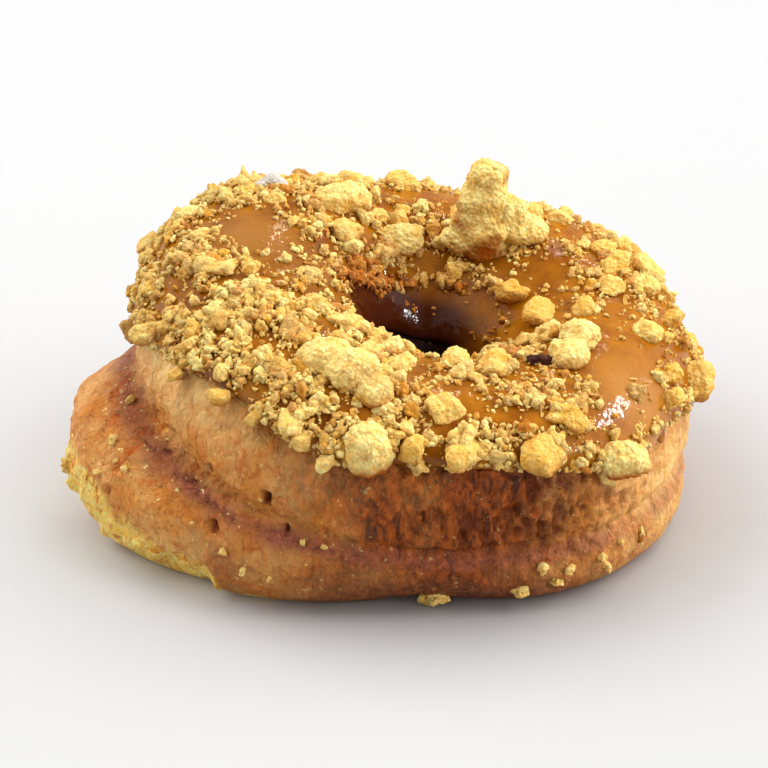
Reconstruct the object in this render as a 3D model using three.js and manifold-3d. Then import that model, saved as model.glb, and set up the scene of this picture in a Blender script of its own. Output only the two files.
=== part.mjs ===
// A ring doughnut of raised dough, with a caramel icing and a crumble topping.
// Millimetres, +Z up. The doughnut is drawn about the axis of its hole. A place on it is given by two
// angles. The turn runs round the hole: 0 is the right (+X), 90 the back (+Y), 180 the left and 270 the
// front. The section angle runs round the ring's cross-section: 0 points outwards, 90 up and 180 at the
// hole. At the end the whole is moved so that the origin lies under the middle of its bounding box, on
// the surface that it rests on.
import * as THREE from "three";
import { mergeVertices } from "three/addons/utils/BufferGeometryUtils.js";
import Module from "manifold-3d";

const wasm = await Module();
wasm.setup();

// Driving sizes of the ring
const BODY_RADIUS = 43.2; // mean outer radius above the crease
const BODY_OFF_X = -2.2; // the body's middle, from the hole's axis
const BODY_OFF_Y = 5.6;
const BODY_HEIGHT = 34.6; // mean height of the crest
const HEIGHT_LEAN = 5.0; // the left rose this much more than the mean, and the right this much less
const HOLE_RADIUS = 7.2; // where the hole is narrowest
const HOLE_OVAL = 0.8;
const HOLE_OVAL_TURN = 150;
const CREST_RADIUS = 25.0; // mean radius of the crest
const CREST_SHIFT = 2.6;
const CREST_SHIFT_TURN = 65;
const MIDDLE_SHARE = 0.48; // height of the section's centre, as a share of the crest's, plus the lift
const MIDDLE_LIFT = 0.5;
const FOOT_CUT = 1.3; // how much of the round underside is pressed flat by the surface below

// How square the section is: 2 is an ellipse, and more is squarer
const SQUARE_OUTER_TOP = 2.42;
const SQUARE_OUTER_LEAN = 0.25; // the upper side is squarer on the side of SQUARE_LEAN_TURN
const SQUARE_LEAN_TURN = 280;
const SQUARE_OUTER_FOOT = 3.6;
const SQUARE_HOLE_TOP = 1.8;
const SQUARE_HOLE_FOOT = 2.4;
const FUNNEL_SOFTENING = 0.15; // the hole's rim is rounder on the side of FUNNEL_TURN
const FUNNEL_TURN = 50;

// The crease runs round the side and parts the upper body from the lower band.
const CREASE_HEIGHT = 9.5;
const CREASE_DEPTH = 1.0;
const CREASE_WIDTH = 0.07; // radians round the section
const BAND_TOP_FADE = [-0.3, 0.06]; // the band fades out between these angles from the crease
const BAND_FOOT_FADE = [-1.55, -0.45]; // and between these section angles at its foot, in radians
const BAND_REACH = 0.6; // how far the band stands out
const LOBE_REACH = 8.8; // how far the band's torn lobe stands out on the left
const FOLD_TURN = 227; // where the lobe ends in a fold
const FOLD_REACH = 1.5;
const FOLD_STEEP = 2; // degrees over which the fold rises
const FOLD_LENGTH = 30; // degrees over which it dies away

// Places that swell: the turn, how far the swelling spreads to each side, and how far it rises
const WIDE_PLACES = [
  { at: 310, spread: 26, by: 2.4 },
  { at: 236, spread: 22, by: 2.0 },
  { at: 165, spread: 26, by: -2.2 },
  { at: 135, spread: 20, by: 0.6 },
  { at: 17, spread: 24, by: -2.2 },
  { at: 348, spread: 16, by: 1.0 },
];
const HIGH_PLACES = [
  { at: 40, spread: 35, by: 1.8 },
  { at: 88, spread: 26, by: -1.2 },
  { at: 146, spread: 26, by: 2.0 },
  { at: 256, spread: 60, by: -5.0 },
];
const FOOT_PLACES = [{ at: 266, spread: 20, by: -1.3 }]; // how much squarer the foot is
const CREASE_PLACES = [
  { at: 188, spread: 38, by: 13.0 },
  { at: 230, spread: 24, by: 3.0 },
  { at: 0, spread: 50, by: -1.5 },
  { at: 120, spread: 40, by: 4.0 },
];
const BAND_PLACES = [
  { at: 199, spread: 22, by: LOBE_REACH },
  { at: 175, spread: 14, by: 3.6 },
  { at: 316, spread: 22, by: 0.8 },
  { at: 354, spread: 24, by: 1.0 },
  { at: 90, spread: 50, by: 1.0 },
];

// Crags on the torn lobe: turn, section angle, how far each spreads both ways, and its height
const CRAGS = [
  { turn: 191, section: -18, spread: 5, by: 1.7 },
  { turn: 180, section: -2, spread: 5, by: 0.9 },
  { turn: 213, section: -24, spread: 6, by: 0.9 },
  { turn: 205, section: -38, spread: 12, by: -1.0 },
];

// Low lumps all over the dough: their height, then how many waves run round the hole and round the
// section, each with its phase
const LOW_LUMPS = [
  { by: 0.35, round: 5, roundPhase: 1, across: 2, acrossPhase: 0.6 },
  { by: 0.22, round: 9, roundPhase: 2.2, across: 3, acrossPhase: Math.PI / 2 },
];

// The icing
const ICING_THICKNESS = 1.5;
const ICING_RIM = 0.4; // thickness at its edges
const ICING_EDGE = 24; // section angle of its outer edge, mean
const ICING_DRIPS = [
  { at: 222, spread: 36, by: 17 },
  { at: 282, spread: 22, by: 9 },
  { at: 318, spread: 14, by: -8 },
  { at: 350, spread: 12, by: -6 },
];
const EDGE_RIPPLES = [
  { by: 1.5, waves: 7, phase: 0 },
  { by: 1.2, waves: 11, phase: 1 },
];
const ICING_INNER_EDGE = 166; // section angle where it ends in the hole
const OUTER_FADE = 0.16; // radians over which it thins out to its rim
const INNER_FADE = 0.3;
const FIT_GAP = 0.3; // between two pieces that touch

// Facets: steps round the hole, and rows round the section, from the crease up to the icing, under the
// icing, down the hole to the foot, and back out to the crease
const TURN_STEPS = 60;
const SIDE_ROWS = 5;
const ICED_ROWS = 12;
const HOLE_ROWS = 7;
const BAND_ROWS = 8;
const SECTION_ROWS = SIDE_ROWS + ICED_ROWS + HOLE_ROWS + BAND_ROWS;
const CREASE_CROWDING = 1.4; // the rows lie closer beside the crease

// Large pieces of crumble. Each lies at a turn and a section angle, and is made of lumps: how far each
// lump's centre is to the right, back and up of that place, then its radii.
const CHUNKS = [
  {
    turn: 56,
    section: 118,
    lumps: [
      [0.6, 0.3, 0.6, 3.6, 3.0, 2.6],
      [-0.6, 0.6, 4.4, 4.4, 3.8, 3.9],
      [5.3, 0.6, 3.6, 3.5, 3.0, 2.5],
      [-4.6, 0.2, 2.2, 2.8, 2.5, 1.9],
      [-0.7, 1.0, 8.7, 3.9, 3.4, 3.5],
      [-0.5, 1.2, 11.9, 3.4, 2.9, 3.2],
      [2.8, 0.8, 6.6, 3.0, 2.6, 2.6],
      [-3.0, 0.5, 4.6, 2.5, 2.3, 2.4],
    ],
  },
  {
    turn: 249.5,
    section: 71,
    lumps: [
      [-3.4, 2.8, 1.6, 4.2, 3.6, 3.0],
      [0.2, -0.2, 1.3, 4.2, 3.4, 3.0],
      [3.3, -3.8, -0.2, 2.7, 2.4, 2.3],
    ],
  },
  { turn: 258.5, section: 40, lumps: [[0, -0.6, 0, 3.4, 2.9, 4.2]] },
  { turn: 312.5, section: 24, lumps: [[0.3, -0.6, 0.2, 3.9, 2.8, 2.9]] },
  {
    turn: 325.5,
    section: 84,
    lumps: [
      [1.2, 2.7, 1.2, 3.1, 3.4, 2.7],
      [-0.8, -2.4, 1.0, 3.1, 3.0, 2.3],
    ],
  },
  { turn: 122, section: 101, lumps: [[0, 0, 1.0, 4.4, 3.8, 2.6]] },
  { turn: 98.5, section: 123, lumps: [[0, 0, 1.2, 3.6, 3.2, 2.8]] },
];
const CHUNK_DETAIL = 2; // how finely a lump's skin is divided
const CRUMB_DETAIL = 0;
const CRAG_DEPTH = 0.055; // how far each wave moves a lump's skin, as a share of its radius
const CRAG_WAVES = 5;
const CRAG_TIGHTNESS = 9;
const CRUMB_WIDTH = [0.85, 1.25]; // a small crumb's radii, as shares of its size
const CRUMB_HEIGHT = [0.7, 0.95];
const CRUMB_LIFT = 0.3; // how high its centre lies over the icing, as a share of its size

// The most striking of the small crumbs, which are fused to the icing
const CHOSEN_CRUMBS = [
  { turn: 26, section: 128, radius: 1.9 },
  { turn: 359, section: 118, radius: 2.6 },
  { turn: 260, section: 116, radius: 1.8 },
  { turn: 286, section: 105, radius: 2.1 },
  { turn: 303, section: 102, radius: 2.1 },
  { turn: 312, section: 87, radius: 1.6 },
  { turn: 268, section: 40, radius: 2.0 },
  { turn: 277, section: 40, radius: 2.1 },
  { turn: 294, section: 35, radius: 2.5 },
  { turn: 303, section: 49, radius: 2.2 },
  { turn: 348, section: 27, radius: 2.5 },
  { turn: 340, section: 42, radius: 1.6 },
  { turn: 10, section: 66, radius: 2.0 },
  { turn: 20, section: 56, radius: 2.3 },
  { turn: 30, section: 60, radius: 2.1 },
  { turn: 93, section: 65, radius: 2.1 },
  { turn: 138, section: 78, radius: 2.1 },
  { turn: 135, section: 118, radius: 2.2 },
];

// The other small crumbs: how many, their radii, and the section angles between which they lie
const CRUMB_COUNT = 56;
const CRUMB_TRIES = 900;
const CRUMB_LARGEST = 1.9;
const CRUMB_SMALLEST = 1.0;
const CRUMB_LOWEST = 30;
const CRUMB_INNERMOST = 142;
const CRUMB_SPACING = 1.1; // between centres, in sums of the two radii
const CRUMB_SEED = 20;
const GOLDEN_ANGLE = 137.508;

// Patches where the icing shows bare: place from the hole's axis, and radii, in plan
const BARE_PATCHES = [
  { x: -25, y: 3, rx: 8, ry: 8 },
  { x: 25, y: -20, rx: 8, ry: 9 },
  { x: 11, y: 5, rx: 8, ry: 9 },
  { x: 7, y: -28, rx: 5, ry: 4 },
  { x: 4, y: 30, rx: 7, ry: 5 },
];

const DEGREE = Math.PI / 180;
const FULL_TURN = 2 * Math.PI;
const { lerp, smoothstep, euclideanModulo } = THREE.MathUtils;

const wrap = (angle) => euclideanModulo(angle + Math.PI, FULL_TURN) - Math.PI;
const bell = (x, spread) => Math.exp(-((x / spread) ** 2));
const swell = (turn, places) =>
  places.reduce(
    (sum, p) => sum + p.by * bell(wrap(turn - p.at * DEGREE), p.spread * DEGREE),
    0,
  );

// Plan and height of the ring at a turn
function ringAt(turn) {
  const body = BODY_RADIUS + BODY_OFF_X * Math.cos(turn) + BODY_OFF_Y * Math.sin(turn);
  const height = BODY_HEIGHT - HEIGHT_LEAN * Math.cos(turn) + swell(turn, HIGH_PLACES);
  return {
    outer: body + swell(turn, WIDE_PLACES),
    hole: HOLE_RADIUS + HOLE_OVAL * Math.cos(2 * (turn - HOLE_OVAL_TURN * DEGREE)),
    height,
    crest: CREST_RADIUS + CREST_SHIFT * Math.cos(turn - CREST_SHIFT_TURN * DEGREE),
    middle: MIDDLE_SHARE * height + MIDDLE_LIFT,
  };
}

// Section angle of the crease
function creaseAngle(turn) {
  const ring = ringAt(turn);
  const rise = CREASE_HEIGHT + swell(turn, CREASE_PLACES) - ring.middle;
  return Math.atan2(rise, ring.outer - ring.crest);
}

// How far the band below the crease stands out
function bandReach(turn) {
  const pastFold = wrap(turn - FOLD_TURN * DEGREE) / DEGREE;
  const fold =
    smoothstep(pastFold, -FOLD_STEEP, FOLD_STEEP) *
    (1 - smoothstep(pastFold, FOLD_STEEP, FOLD_LENGTH));
  return BAND_REACH + swell(turn, BAND_PLACES) + FOLD_REACH * fold;
}

// A rounded box of a section, as the distance from its centre to its skin
function ovalDistance(turn, section, ring) {
  const c = Math.cos(section);
  const s = Math.sin(section);
  const across = c > 0 ? ring.outer - ring.crest : ring.crest - ring.hole;
  const along = s > 0 ? ring.height - ring.middle : ring.middle + FOOT_CUT;
  const funnel = SQUARE_HOLE_TOP - FUNNEL_SOFTENING * Math.cos(turn - FUNNEL_TURN * DEGREE);
  const outerTop =
    SQUARE_OUTER_TOP + SQUARE_OUTER_LEAN * Math.cos(turn - SQUARE_LEAN_TURN * DEGREE);
  const outerSquare = s > 0 ? outerTop : SQUARE_OUTER_FOOT + swell(turn, FOOT_PLACES);
  const holeSquare = s > 0 ? funnel : SQUARE_HOLE_FOOT;
  const square = c > 0 ? outerSquare : holeSquare;
  const sum = Math.abs(c / across) ** square + Math.abs(s / along) ** square;
  return sum ** (-1 / square);
}

// Low lumps all over the dough, and crags on the lobe
function unevenness(turn, section) {
  const lumps = LOW_LUMPS.reduce((sum, lump) => {
    const round = Math.sin(lump.round * turn + lump.roundPhase);
    return sum + lump.by * round * Math.sin(lump.across * section + lump.acrossPhase);
  }, 0);
  const crags = CRAGS.reduce((sum, crag) => {
    const aside = wrap(turn - crag.turn * DEGREE);
    const above = wrap(section - crag.section * DEGREE);
    return sum + crag.by * bell(Math.hypot(aside, above), crag.spread * DEGREE);
  }, 0);
  return lumps + crags;
}

// A point on the dough's skin, or lifted off it
function skinPoint(turn, section, lift = 0) {
  const ring = ringAt(turn);
  const level = wrap(section);
  const aboveCrease = level - creaseAngle(turn);
  const band =
    bandReach(turn) *
    (1 - smoothstep(aboveCrease, ...BAND_TOP_FADE)) *
    smoothstep(level, ...BAND_FOOT_FADE);
  const groove = CREASE_DEPTH * bell(aboveCrease - CREASE_WIDTH, CREASE_WIDTH);
  const free =
    ovalDistance(turn, section, ring) + band - groove + unevenness(turn, section);
  const s = Math.sin(section);
  const reach = (s < 0 ? Math.min(free, ring.middle / -s) : free) + lift;
  const radius = ring.crest + reach * Math.cos(section);
  return new THREE.Vector3(
    radius * Math.cos(turn),
    radius * Math.sin(turn),
    ring.middle + reach * s,
  );
}

// The icing's outer edge, and the height of its top over the dough
const icingEdge = (turn) =>
  DEGREE *
  EDGE_RIPPLES.reduce(
    (sum, ripple) => sum + ripple.by * Math.sin(ripple.waves * turn + ripple.phase),
    ICING_EDGE + swell(turn, ICING_DRIPS),
  );

function icingTop(turn, section) {
  const fromOuter = (section - icingEdge(turn)) / OUTER_FADE;
  const fromInner = (ICING_INNER_EDGE * DEGREE - section) / INNER_FADE;
  const share = THREE.MathUtils.clamp(Math.min(fromOuter, fromInner), 0, 1);
  const round = Math.sqrt(share * (2 - share));
  return FIT_GAP + lerp(ICING_RIM, ICING_THICKNESS, round);
}

// The section angle of each row of facets. The dough and the icing share these rows.
function sectionAngle(turn, row) {
  const crease = creaseAngle(turn);
  const edge = icingEdge(turn);
  const inner = ICING_INNER_EDGE * DEGREE;
  const foot = 1.5 * Math.PI;
  if (row < SIDE_ROWS) {
    return lerp(crease, edge, (row / SIDE_ROWS) ** CREASE_CROWDING);
  }
  const iced = row - SIDE_ROWS;
  if (iced < ICED_ROWS) return lerp(edge, inner, iced / ICED_ROWS);
  const inHole = iced - ICED_ROWS;
  if (inHole < HOLE_ROWS) return lerp(inner, foot, inHole / HOLE_ROWS);
  const left = 1 - (inHole - HOLE_ROWS) / BAND_ROWS;
  return lerp(crease + FULL_TURN, foot, left ** CREASE_CROWDING);
}

// A closed surface swept round the hole. pointAt gives the point at a turn and a row.
function sweptRing(rows, pointAt) {
  const positions = [];
  const index = [];
  for (let i = 0; i < TURN_STEPS; i++) {
    for (let j = 0; j < rows; j++) {
      positions.push(...pointAt((i / TURN_STEPS) * FULL_TURN, j).toArray());
      const nextRow = (j + 1) % rows;
      const nextTurn = ((i + 1) % TURN_STEPS) * rows;
      const a = i * rows + j;
      const b = nextTurn + j;
      const c = nextTurn + nextRow;
      const d = i * rows + nextRow;
      index.push(a, b, c, a, c, d);
    }
  }
  const geometry = new THREE.BufferGeometry();
  geometry.setAttribute("position", new THREE.Float32BufferAttribute(positions, 3));
  geometry.setIndex(index);
  return geometry;
}

const doughGeometry = (liftAt) =>
  sweptRing(SECTION_ROWS, (turn, row) => {
    const section = sectionAngle(turn, row);
    return skinPoint(turn, section, liftAt(turn, section));
  });

// Up over the top of the icing and back along its underside
function icingGeometry() {
  const across = ICED_ROWS + 1;
  return sweptRing(2 * across, (turn, step) => {
    const onTop = step < across;
    const row = SIDE_ROWS + (onTop ? step : 2 * across - 1 - step);
    const section = sectionAngle(turn, row);
    return skinPoint(turn, section, onTop ? icingTop(turn, section) : FIT_GAP);
  });
}

// Between three.js geometry and a solid that can be cut and joined
function toSolid(geometry) {
  geometry.deleteAttribute("normal");
  geometry.deleteAttribute("uv");
  const merged = mergeVertices(geometry, 1e-4);
  return new wasm.Manifold(
    new wasm.Mesh({
      numProp: 3,
      vertProperties: new Float32Array(merged.getAttribute("position").array),
      triVerts: new Uint32Array(merged.index.array),
    }),
  );
}

function toGeometry(solid) {
  const mesh = solid.getMesh();
  const geometry = new THREE.BufferGeometry();
  geometry.setAttribute("position", new THREE.BufferAttribute(mesh.vertProperties, 3));
  geometry.setIndex(new THREE.BufferAttribute(mesh.triVerts, 1));
  geometry.computeVertexNormals();
  return geometry;
}

const largestPiece = (solid) =>
  solid.decompose().reduce((a, b) => (a.volume() > b.volume() ? a : b));
const unite = (solids) => solids.reduce((a, b) => a.add(b));

// Numbers from 0 to 1 that depend on the seed alone
function seededRandom(seed) {
  let state = seed;
  return () => {
    state = (state + 0x6d2b79f5) | 0;
    let t = Math.imul(state ^ (state >>> 15), 1 | state);
    t = (t + Math.imul(t ^ (t >>> 7), 61 | t)) ^ t;
    return ((t ^ (t >>> 14)) >>> 0) / 2 ** 32;
  };
}

// A craggy lump of baked crumble: a ball whose skin waves in and out
function crumbleLump(centre, radii, detail, seed) {
  const random = seededRandom(seed);
  const anyAngle = () => random() * FULL_TURN;
  const waves = Array.from({ length: CRAG_WAVES }, () => ({
    along: new THREE.Vector3(random() - 0.5, random() - 0.5, random() - 0.5),
    phase: anyAngle(),
  }));
  const turned = new THREE.Quaternion().setFromEuler(
    new THREE.Euler(anyAngle(), anyAngle(), anyAngle()),
  );
  const geometry = new THREE.IcosahedronGeometry(1, detail);
  const position = geometry.getAttribute("position");
  const point = new THREE.Vector3();
  for (let i = 0; i < position.count; i++) {
    point.fromBufferAttribute(position, i).applyQuaternion(turned);
    const crag = waves.reduce(
      (sum, wave) => sum + Math.sin(CRAG_TIGHTNESS * point.dot(wave.along) + wave.phase),
      0,
    );
    point.multiplyScalar(1 + CRAG_DEPTH * crag).multiply(radii).add(centre);
    position.setXYZ(i, point.x, point.y, point.z);
  }
  return toSolid(geometry);
}

function chunkLumps(chunk) {
  const place = skinPoint(chunk.turn * DEGREE, chunk.section * DEGREE, ICING_THICKNESS);
  return chunk.lumps.map(([right, back, up, ...radii]) => ({
    centre: new THREE.Vector3(right, back, up).add(place),
    radii: new THREE.Vector3(...radii),
  }));
}

// Where the small crumbs lie: the chosen ones, then the others, the largest first. Each of the others
// is a golden angle further round than the last, and is left out where it would touch another piece.
function crumbPlaces() {
  const random = seededRandom(CRUMB_SEED);
  const lumps = CHUNKS.flatMap(chunkLumps);
  const place = (turn, section, radius) => ({
    radius,
    centre: skinPoint(
      turn * DEGREE,
      section * DEGREE,
      ICING_THICKNESS + CRUMB_LIFT * radius,
    ),
  });
  const isFree = ({ centre, radius }, placed) =>
    BARE_PATCHES.every(
      (p) => Math.hypot((centre.x - p.x) / p.rx, (centre.y - p.y) / p.ry) > 1,
    ) &&
    lumps.every((lump) => {
      const reach = Math.max(...lump.radii.toArray());
      return lump.centre.distanceTo(centre) > reach + CRUMB_SPACING * radius;
    }) &&
    placed.every(
      (other) =>
        other.centre.distanceTo(centre) > CRUMB_SPACING * (other.radius + radius),
    );

  const crumbs = CHOSEN_CRUMBS.map((c) => place(c.turn, c.section, c.radius));
  const wanted = CHOSEN_CRUMBS.length + CRUMB_COUNT;
  for (let n = 0; crumbs.length < wanted && n < CRUMB_TRIES; n++) {
    const share = (crumbs.length - CHOSEN_CRUMBS.length) / CRUMB_COUNT;
    const outwards = lerp(
      Math.cos(CRUMB_INNERMOST * DEGREE),
      Math.cos(CRUMB_LOWEST * DEGREE),
      Math.sqrt(random()),
    );
    const section = Math.acos(outwards) / DEGREE;
    const radius = lerp(CRUMB_LARGEST, CRUMB_SMALLEST, share);
    const crumb = place(n * GOLDEN_ANGLE, section, radius);
    if (isFree(crumb, crumbs)) crumbs.push(crumb);
  }
  return crumbs;
}

// Each small crumb is a little flat, and uneven in plan.
const smallCrumbs = () =>
  crumbPlaces().map(({ centre, radius }, n) => {
    const random = seededRandom(n + 1);
    const radii = new THREE.Vector3(
      lerp(...CRUMB_WIDTH, random()),
      lerp(...CRUMB_WIDTH, random()),
      lerp(...CRUMB_HEIGHT, random()),
    );
    return crumbleLump(centre, radii.multiplyScalar(radius), CRUMB_DETAIL, n + 1);
  });

const crust = new THREE.MeshStandardMaterial({
  color: 0xa8703a,
  roughness: 0.5,
  metalness: 0,
});
const caramel = new THREE.MeshStandardMaterial({
  color: 0xb5701f,
  roughness: 0.18,
  metalness: 0,
});
const crumble = new THREE.MeshStandardMaterial({
  color: 0xe6c77c,
  roughness: 0.85,
  metalness: 0,
});

function namedMesh(name, geometry, material) {
  const mesh = new THREE.Mesh(geometry, material);
  mesh.name = name;
  return mesh;
}

// Dough
const dough = toSolid(doughGeometry(() => 0));

// Icing, with the small crumbs fused to it. They are cut off just above its underside.
const belowCrumbs = toSolid(doughGeometry(() => FIT_GAP + 0.5 * ICING_RIM));
const crumbs = unite(smallCrumbs()).subtract(belowCrumbs);
const icing = largestPiece(toSolid(icingGeometry()).add(crumbs));

// Large pieces of crumble, cut off where they lie on the icing
const belowChunks = toSolid(
  doughGeometry((turn, section) => icingTop(turn, section) + FIT_GAP),
);
const chunkSolid = (chunk, n) => {
  const lumps = chunkLumps(chunk).map(({ centre, radii }, k) =>
    crumbleLump(centre, radii, CHUNK_DETAIL, 10 * n + k),
  );
  return largestPiece(unite(lumps).subtract(belowChunks));
};

const doughnut = new THREE.Group();
doughnut.name = "doughnut";
doughnut.add(namedMesh("dough", toGeometry(dough), crust));
doughnut.add(namedMesh("caramel_icing", toGeometry(icing), caramel));
CHUNKS.forEach((chunk, n) => {
  const geometry = toGeometry(chunkSolid(chunk, n));
  doughnut.add(namedMesh(`crumble_chunk_${n + 1}`, geometry, crumble));
});

// The origin goes under the middle of the whole, at the level of its foot.
const box = new THREE.Box3().setFromObject(doughnut);
const middle = box.getCenter(new THREE.Vector3());
doughnut.position.set(-middle.x, -middle.y, -box.min.z);

export default doughnut;
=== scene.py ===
import math

import bmesh
import bpy
import numpy as np
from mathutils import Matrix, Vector


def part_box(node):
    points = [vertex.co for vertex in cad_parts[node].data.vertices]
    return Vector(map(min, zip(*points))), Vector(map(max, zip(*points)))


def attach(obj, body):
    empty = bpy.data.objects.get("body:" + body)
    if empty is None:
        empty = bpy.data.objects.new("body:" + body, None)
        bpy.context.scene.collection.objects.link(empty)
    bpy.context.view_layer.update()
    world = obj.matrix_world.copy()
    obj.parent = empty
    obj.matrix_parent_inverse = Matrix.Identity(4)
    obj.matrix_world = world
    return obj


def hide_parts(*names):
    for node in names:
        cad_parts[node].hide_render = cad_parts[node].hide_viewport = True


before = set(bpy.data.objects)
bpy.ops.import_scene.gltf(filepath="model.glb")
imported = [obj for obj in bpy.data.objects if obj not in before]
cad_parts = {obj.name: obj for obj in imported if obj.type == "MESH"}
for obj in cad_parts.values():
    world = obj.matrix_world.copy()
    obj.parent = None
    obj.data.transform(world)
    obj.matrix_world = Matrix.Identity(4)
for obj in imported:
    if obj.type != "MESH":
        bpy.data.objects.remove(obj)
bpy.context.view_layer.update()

MM = 0.001
FULL_TURN = 2 * math.pi

# Sizes of the ring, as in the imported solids
BODY_RADIUS = 43.2
BODY_OFF_X = -2.2
BODY_OFF_Y = 5.6
BODY_HEIGHT = 34.6
HEIGHT_LEAN = 5.0
HOLE_RADIUS = 7.2
HOLE_OVAL = 0.8
HOLE_OVAL_TURN = 150
CREST_RADIUS = 25.0
CREST_SHIFT = 2.6
CREST_SHIFT_TURN = 65
MIDDLE_SHARE = 0.48
MIDDLE_LIFT = 0.5
FOOT_CUT = 1.3
SQUARE_OUTER_TOP = 2.42
SQUARE_OUTER_LEAN = 0.25
SQUARE_LEAN_TURN = 280
SQUARE_OUTER_FOOT = 3.6
SQUARE_HOLE_TOP = 1.8
SQUARE_HOLE_FOOT = 2.4
FUNNEL_SOFTENING = 0.15
FUNNEL_TURN = 50
CREASE_HEIGHT = 9.5
CREASE_DEPTH = 1.0
CREASE_WIDTH = 0.07
BAND_TOP_FADE = (-0.3, 0.06)
BAND_FOOT_FADE = (-1.55, -0.45)
BAND_REACH = 0.6
LOBE_REACH = 8.8
FOLD_TURN = 227
FOLD_REACH = 1.5
FOLD_STEEP = 2
FOLD_LENGTH = 30

# Places that swell: turn, spread to each side, height
WIDE_PLACES = [
    (310, 26, 2.4), (236, 22, 2.0), (165, 26, -2.2), (135, 20, 0.6), (17, 24, -2.2), (348, 16, 1.0),
]
HIGH_PLACES = [(40, 35, 1.8), (88, 26, -1.2), (146, 26, 2.0), (256, 60, -5.0)]
FOOT_PLACES = [(266, 20, -1.3)]
CREASE_PLACES = [(188, 38, 13.0), (230, 24, 3.0), (0, 50, -1.5), (120, 40, 4.0)]
BAND_PLACES = [(199, 22, LOBE_REACH), (175, 14, 3.6), (316, 22, 0.8), (354, 24, 1.0), (90, 50, 1.0)]

# Crags on the torn lobe: turn, section angle, spread, height
CRAGS = [(191, -18, 5, 1.7), (180, -2, 5, 0.9), (213, -24, 6, 0.9), (205, -38, 12, -1.0)]

# Low lumps: height, waves round the hole and their phase, waves round the section and their phase
LOW_LUMPS = [(0.35, 5, 1, 2, 0.6), (0.22, 9, 2.2, 3, math.pi / 2)]

# Icing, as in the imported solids
ICING_THICKNESS = 1.5
ICING_RIM = 0.4
ICING_EDGE = 24
ICING_DRIPS = [(222, 36, 17), (282, 22, 9), (318, 14, -8), (350, 12, -6)]
EDGE_RIPPLES = [(1.5, 7, 0), (1.2, 11, 1)]
ICING_INNER_EDGE = 166
OUTER_FADE = 0.16
INNER_FADE = 0.3
FIT_GAP = 0.3

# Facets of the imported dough, which place the hole's axis in the frame
CAD_TURN_STEPS = 60
CAD_ROWS = {"side": 5, "iced": 12, "hole": 7, "band": 8}
CREASE_CROWDING = 1.4

# Large pieces of crumble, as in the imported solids: turn, section angle, and lumps, each with its
# centre to the right, back and up, then its radii
CHUNKS = [
    (56, 118, [
        (0.6, 0.3, 0.6, 3.6, 3.0, 2.6),
        (-0.6, 0.6, 4.4, 4.4, 3.8, 3.9),
        (5.3, 0.6, 3.6, 3.5, 3.0, 2.5),
        (-4.6, 0.2, 2.2, 2.8, 2.5, 1.9),
        (-0.7, 1.0, 8.7, 3.9, 3.4, 3.5),
        (-0.5, 1.2, 11.9, 3.4, 2.9, 3.2),
        (2.8, 0.8, 6.6, 3.0, 2.6, 2.6),
        (-3.0, 0.5, 4.6, 2.5, 2.3, 2.4),
    ]),
    (249.5, 71, [
        (-3.4, 2.8, 1.6, 4.2, 3.6, 3.0),
        (0.2, -0.2, 1.3, 4.2, 3.4, 3.0),
        (3.3, -3.8, -0.2, 2.7, 2.4, 2.3),
    ]),
    (258.5, 40, [(0, -0.6, 0, 3.4, 2.9, 4.2)]),
    (312.5, 24, [(0.3, -0.6, 0.2, 3.9, 2.8, 2.9)]),
    (325.5, 84, [(1.2, 2.7, 1.2, 3.1, 3.4, 2.7), (-0.8, -2.4, 1.0, 3.1, 3.0, 2.3)]),
    (122, 101, [(0, 0, 1.0, 4.4, 3.8, 2.6)]),
    (98.5, 123, [(0, 0, 1.2, 3.6, 3.2, 2.8)]),
]

# Small crumbs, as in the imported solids: turn, section angle, radius; then the rule for the others
CHOSEN_CRUMBS = [
    (26, 128, 1.9), (359, 118, 2.6), (260, 116, 1.8), (286, 105, 2.1), (303, 102, 2.1), (312, 87, 1.6),
    (268, 40, 2.0), (277, 40, 2.1), (294, 35, 2.5), (303, 49, 2.2), (348, 27, 2.5), (340, 42, 1.6),
    (10, 66, 2.0), (20, 56, 2.3), (30, 60, 2.1), (93, 65, 2.1), (138, 78, 2.1), (135, 118, 2.2),
]
FLAT_FLAKE = 1
BURNT_CRUMB = 5
WHITE_FLAKE = 16
CRUMB_COUNT = 56
CRUMB_TRIES = 900
CRUMB_LARGEST = 1.9
CRUMB_SMALLEST = 1.0
CRUMB_LOWEST = 30
CRUMB_INNERMOST = 142
CRUMB_SPACING = 1.1
CRUMB_SEED = 20
CRUMB_WIDTH = (0.85, 1.25)
CRUMB_HEIGHT = (0.7, 0.95)
CRUMB_LIFT = 0.3
GOLDEN_ANGLE = 137.508
BARE_PATCHES = [(-25, 3, 8, 8), (25, -20, 8, 9), (11, 5, 8, 9), (7, -28, 5, 4), (4, 30, 7, 5)]

# Fine meshes
DOUGH_TURN_STEPS = 520
DOUGH_ROWS = {"side": 46, "iced": 30, "hole": 34, "band": 60}
ICING_TURN_STEPS = 480
ICING_TOP_ROWS = 90
ICING_UNDER_ROWS = 8
CHUNK_VOXEL = 0.25
CHUNK_SMOOTHING = 6
CRUMB_PLANES = 9

# Camera
CAMERA_DISTANCE = 330
CAMERA_ELEVATION = 28
CAMERA_TARGET = (-5.3, 5.4, 14.8)
CAMERA_LENS = 100


# Numbers and shapes

def radians(angle):
    return np.asarray(angle, float) * math.pi / 180


def wrap(angle):
    return (angle + math.pi) % FULL_TURN - math.pi


def bell(x, spread):
    return np.exp(-((x / spread) ** 2))


def near_turn(turn, at, spread):
    """1 at one turn, fading with distance from it."""
    return bell(wrap(turn - radians(at)), radians(spread))


def in_plan(points, x=0, y=0):
    """Distance in plan from a place, which is the hole's axis unless given."""
    return np.hypot(points[..., 0] - x, points[..., 1] - y)


def lerp(a, b, share):
    return a + (b - a) * share


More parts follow.
